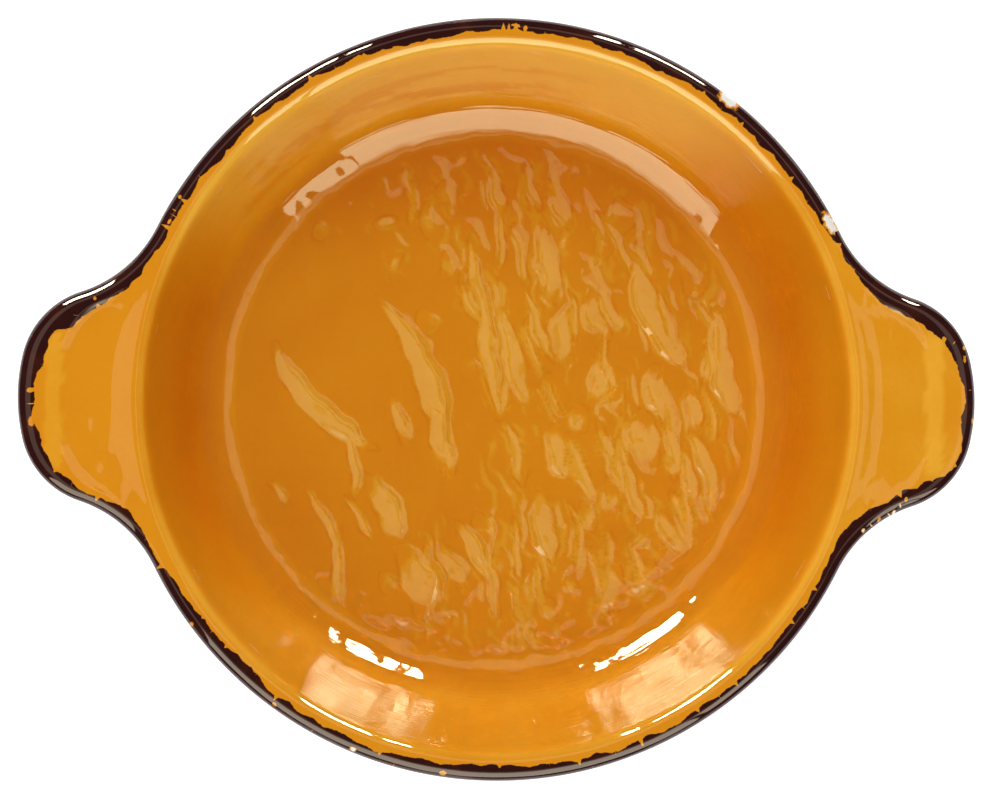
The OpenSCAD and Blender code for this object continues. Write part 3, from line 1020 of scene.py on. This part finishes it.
def wall_sheen_share(x, y):
    """What the wall adds: a painted sheen, pale on its far side, with darker painted reflected streaks,
    and less pale painted light near the front.
    """
    plan = np.hypot(x, y)
    azimuth = np.degrees(np.arctan2(y, x))
    # Painted sheen on the far wall, and painted light making the wall paler near the front
    share = FAR_WALL_SHEEN_SHARE * within(azimuth, *FAR_WALL_TURN) + NEAR_WALL_LIGHT_SHARE * rise(y, *NEAR_SIDE)
    swing = STREAK_SWING * gradient_noise(azimuth / 7, np.zeros(len(x)), STREAK_SWING_SEED)
    # Darker painted reflected streaks on the far wall
    streaks = gradient_noise(azimuth / 26 + 3, (plan + swing) / 2.2, STREAK_SEED)
    shown = within(azimuth, *STREAK_TURN) * within(plan, *STREAK_SPAN)
    return share * within(plan, *WALL_SPAN) + REFLECTED_STREAK_SHARE * rise(streaks, 0.08, 0.13) * shown


def handle_strip(x, y, band):
    """1 in the pale strip near each handle's lip, and 0 elsewhere."""
    out = abs(x) + ripple(x, y, STRIP_SWING) - LEFT_STRIP_SHIFT * (x < 0)
    return within(out, *HANDLE_STRIP_SPAN) * rise(abs(y + 1), *HANDLE_STRIP_REACH) * (band > 0)


def pool_and_light_share(verts, relief, steep, band):
    """How pale the amber is painted: low where the glaze pools, high on edges and slopes, with painted
    light, shade, sheen and reflections added.
    """
    x, y, z = verts.T
    plan = np.hypot(x, y)
    cove = bell(plan, *COVE_RING)
    crease = bell(plan, MOUTH_R, CREASE_WIDTH) * (z - FLOOR_Z > 0.8 * (DISH_HEIGHT - FLOOR_Z))
    share = PLAIN_SHARE + RIM_SHARE * rise(plan, 110, 113)
    # The cove's deep ring of pooled glaze, with painted light making it paler near the front
    share += cove * (COVE_SHARE + NEAR_COVE_LIGHT_SHARE * rise(y, *NEAR_SIDE))
    # Thin glaze and a painted highlight on the creases
    share += crease * (FAR_CREASE_THIN_AND_HIGHLIGHT_SHARE * rise(y, 10, 90) + SIDE_CREASE_THIN_AND_HIGHLIGHT_SHARE * rise(abs(x), 60, 100))
    # Paler near the top of the right wall; the wall adds a painted sheen, darker painted reflected
    # streaks and painted light near the front
    share += RIGHT_WALL_SHARE * rise(x, 92, 106) + wall_sheen_share(x, y)
    # Ridges paler where the glaze thins; steep places paler from thin glaze and a painted reflection
    share += RELIEF_SHARE * np.clip(relief, -0.3, 0.6) + STEEP_THIN_AND_REFLECTION_SHARE * rise(steep, *STEEP_SPAN)
    # Painted reflection: a pale line at the floor's edge
    share += FLOOR_EDGE_REFLECTION_SHARE * within(plan, *FLOOR_EDGE_SPAN)
    # Painted shade: the far floor darker, as in the far wall's shadow
    share += FAR_FLOOR_SHADE_SHARE * rise(y, 42, 72) * rise(plan, 90, 84)
    return share + HANDLE_STRIP_SHARE * handle_strip(x, y, band)


def painted_bowl_shade(verts, steep):
    """Painted shade: how much of the amber's brightness shows, less in the bowl than on the rim and least
    on slopes.
    """
    plan = np.hypot(verts[:, 0], verts[:, 1])
    shade = BOWL_SHADE + (1 - BOWL_SHADE) * rise(plan, 108.5, 111.5)
    return shade * (1 - STEEP_SHADE * rise(steep, *STEEP_SPAN))


# Where the photograph was taken from, in metres. The view is as wide as the
# photograph's 996 pixels at 0.31315 mm each.
CAMERA_HEIGHT = 1.3
CAMERA_FOOT = (-0.05, 0.0)
AIM = (-0.0001, -0.0002, 0.045)
ROLL = math.radians(0.43)
VIEW_WIDTH = 996 * 0.31315 * MM
SENSOR = 36.0
NEAR_CLIP = 0.05


def make_camera():
    """The photograph's camera, overhead and a little to the left."""
    camera = bpy.data.cameras.new("camera")
    spot = Vector((CAMERA_FOOT[0], CAMERA_FOOT[1], CAMERA_HEIGHT))
    aim = Vector(AIM)
    look = (aim - spot).normalized()
    up = Vector((-math.sin(ROLL), math.cos(ROLL), 0))
    right = look.cross(up).normalized()
    up = right.cross(look)
    camera.sensor_width = SENSOR
    camera.lens = SENSOR * (aim - spot).length / VIEW_WIDTH
    camera.clip_start = NEAR_CLIP
    holder = bpy.data.objects.new("camera", camera)
    turn = Matrix((right, up, -look)).transposed().to_4x4()
    holder.matrix_world = Matrix.Translation(spot) @ turn
    bpy.context.scene.collection.objects.link(holder)
    bpy.context.scene.camera = holder


# Soft lights: name, place and size in metres, and radiance
SOFT_LIGHTS = (
    ("overhead", (-0.35, 0.1, 1.9), 1.6, 0.75),
    ("front", (-0.1, -1.5, 1.1), 1.2, 3.9),
    ("back", (0.0, 1.5, 1.1), 1.2, 4.7),
    ("left", (-1.5, 0.0, 1.0), 0.8, 2.9),
    ("right", (1.5, 0.0, 1.0), 0.8, 1.2),
)
WORLD_LIGHT = 0.08

# What the glaze mirrors, on a dome round the dish: radiance, distance in metres and tint
WINDOW_GLOW = (85.0, 1.6, (0.92, 1.0, 0.62, 1))
PANEL_GLOW = (6.5, 2.4, (0.93, 1.0, 0.66, 1))
RING_GLOW = (1.3, 2.5, (0.95, 0.86, 0.62, 1))
# Two barred windows behind, a wide panel in front and a dim ring overhead: name,
# azimuths, zeniths, glow, and the degrees of zenith over which the glow grows
WINDOW_ZENITHS = (46, 65.3)
PATCHES = (
    ("window_right", (55, 66.5), WINDOW_ZENITHS, WINDOW_GLOW, 0),
    ("window_right_side", (69, 73), WINDOW_ZENITHS, WINDOW_GLOW, 0),
    ("window_left", (113.5, 129), WINDOW_ZENITHS, WINDOW_GLOW, 0),
    ("window_left_side", (108, 111.5), WINDOW_ZENITHS, WINDOW_GLOW, 0),
    ("front_panel", (222, 304.5), (14, 71), PANEL_GLOW, 14),
    ("front_panel_side", (306.5, 318), (14, 56), PANEL_GLOW, 10),
    ("ring", (25, 335), (9, 25), RING_GLOW, 0),
    ("ring_right", (-24, 24), (12, 25), RING_GLOW, 0),
)
# Degrees of azimuth and zenith that one face of a patch covers, and the dome's middle
PATCH_STEPS = (5, 3)
DOME_Z = 0.03

FLOOR_HALF = 1.8
FLOOR_COLOUR = (0.85, 0.85, 0.85, 1)
FLOOR_ROUGHNESS = 0.9
FLOOR_GLOW = 0.60


def patch_mesh(name, azimuths, zeniths, distance, fade):
    """Faces of a piece of the dome, and its share of the glow at each point."""
    columns = max(2, int(abs(azimuths[1] - azimuths[0]) / PATCH_STEPS[0]))
    rows = max(2, int(abs(zeniths[1] - zeniths[0]) / PATCH_STEPS[1]))
    spots = []
    shares = []
    for zenith in np.linspace(zeniths[0], zeniths[1], rows + 1):
        tilt = math.radians(zenith)
        share = float(rise(zenith, zeniths[0], zeniths[0] + fade)) if fade else 1.0
        for azimuth in np.linspace(azimuths[0], azimuths[1], columns + 1):
            way = direction(azimuth) * math.sin(tilt)
            spots.append((distance * way[0], distance * way[1], distance * math.cos(tilt) + DOME_Z))
            shares.append(share)
    faces = []
    for row in range(rows):
        for column in range(columns):
            start = row * (columns + 1) + column
            faces.append((start, start + 1, start + columns + 2, start + columns + 1))
    mesh = bpy.data.meshes.new(name)
    mesh.from_pydata(spots, [], faces)
    return mesh, shares


def sky_patch(name, azimuths, zeniths, glow, fade):
    """A glowing piece of a dome round the dish that only shows in reflections."""
    radiance, distance, tint = glow
    mesh, shares = patch_mesh(name, azimuths, zeniths, distance, fade)
    patch = bpy.data.objects.new(name, mesh)
    bpy.context.scene.collection.objects.link(patch)
    add_attribute(patch, "glow", shares)
    material = bpy.data.materials.new(name)
    n = Nodes(material)
    emission = n.add("ShaderNodeEmission")
    n.feed(emission.inputs["Strength"], n.math("MULTIPLY", n.attribute("glow"), radiance))
    emission.inputs["Color"].default_value = tint
    n.tree.nodes.remove(n.shader)
    n.feed(n.tree.nodes["Material Output"].inputs["Surface"], emission.outputs[0])
    mesh.materials.append(material)
    patch.visible_diffuse = False
    patch.visible_shadow = False
    patch.visible_camera = False


def soft_light(name, centre, size, radiance):
    """A soft light towards the dish that doesn't show in reflections."""
    light = bpy.data.lights.new(name, "AREA")
    light.shape = "SQUARE"
    light.size = size
    light.energy = radiance * math.pi * size * size
    holder = bpy.data.objects.new(name, light)
    bpy.context.scene.collection.objects.link(holder)
    holder.location = centre
    holder.rotation_euler = (-Vector(centre)).to_track_quat("-Z", "Y").to_euler()
    holder.visible_glossy = False


def make_world():
    """Plain colours and a faint white light from all sides."""
    scene = bpy.context.scene
    scene.view_settings.view_transform = "Standard"
    scene.world = bpy.data.worlds.new("studio")
    scene.world.use_nodes = True
    back = scene.world.node_tree.nodes["Background"]
    back.inputs["Color"].default_value = WHITE
    back.inputs["Strength"].default_value = WORLD_LIGHT


def make_floor():
    """The white surface that the dish stands on."""
    mesh = bpy.data.meshes.new("floor")
    corners = [(x * FLOOR_HALF, y * FLOOR_HALF, 0) for x, y in ((-1, -1), (1, -1), (1, 1), (-1, 1))]
    mesh.from_pydata(corners, [], [(0, 1, 2, 3)])
    floor = bpy.data.objects.new("floor", mesh)
    bpy.context.scene.collection.objects.link(floor)
    material = bpy.data.materials.new("pale_floor")
    shader = Nodes(material).shader
    shader.inputs["Base Color"].default_value = FLOOR_COLOUR
    shader.inputs["Roughness"].default_value = FLOOR_ROUGHNESS
    shader.inputs["Emission Color"].default_value = WHITE
    shader.inputs["Emission Strength"].default_value = FLOOR_GLOW
    mesh.materials.append(material)


# Height under which the foot ring is bare clay, in millimetres
BARE_HEIGHT = 0.3


def make_dish():
    """The glazed dish, with what its material reads at each point."""
    points, ways = outline()
    verts, faces, lip_start = dish_surface(points, ways)
    relief, steep, outside = raise_relief(verts)
    band, round_edge, edge_length = band_distance(verts, points, lip_start)
    dish = make_mesh("glazed_dish", verts, faces)
    # Paleness of the amber: glaze depth with painted light, shade, sheen and reflections
    add_attribute(dish, "pool_and_light", pool_and_light_share(verts, relief, steep, band))
    # Painted shade: darker in the bowl and on steep places
    add_attribute(dish, "shade", painted_bowl_shade(verts, steep))
    add_attribute(dish, "band", band)
    add_attribute(dish, "round_edge", round_edge)
    add_attribute(dish, "nick", nearest_nick(round_edge, edge_length))
    add_attribute(dish, "chip", nearest_chip(verts))
    add_attribute(dish, "bare", (verts[:, 2] < BARE_HEIGHT) * 1.0)
    add_attribute(dish, "ridge", outside)
    dish.data.materials.append(glaze())
    return dish


make_camera()
make_world()
for light in SOFT_LIGHTS:
    soft_light(*light)
for patch in PATCHES:
    sky_patch(*patch)
make_floor()

dish = make_dish()
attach(dish, "root")
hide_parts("dish")
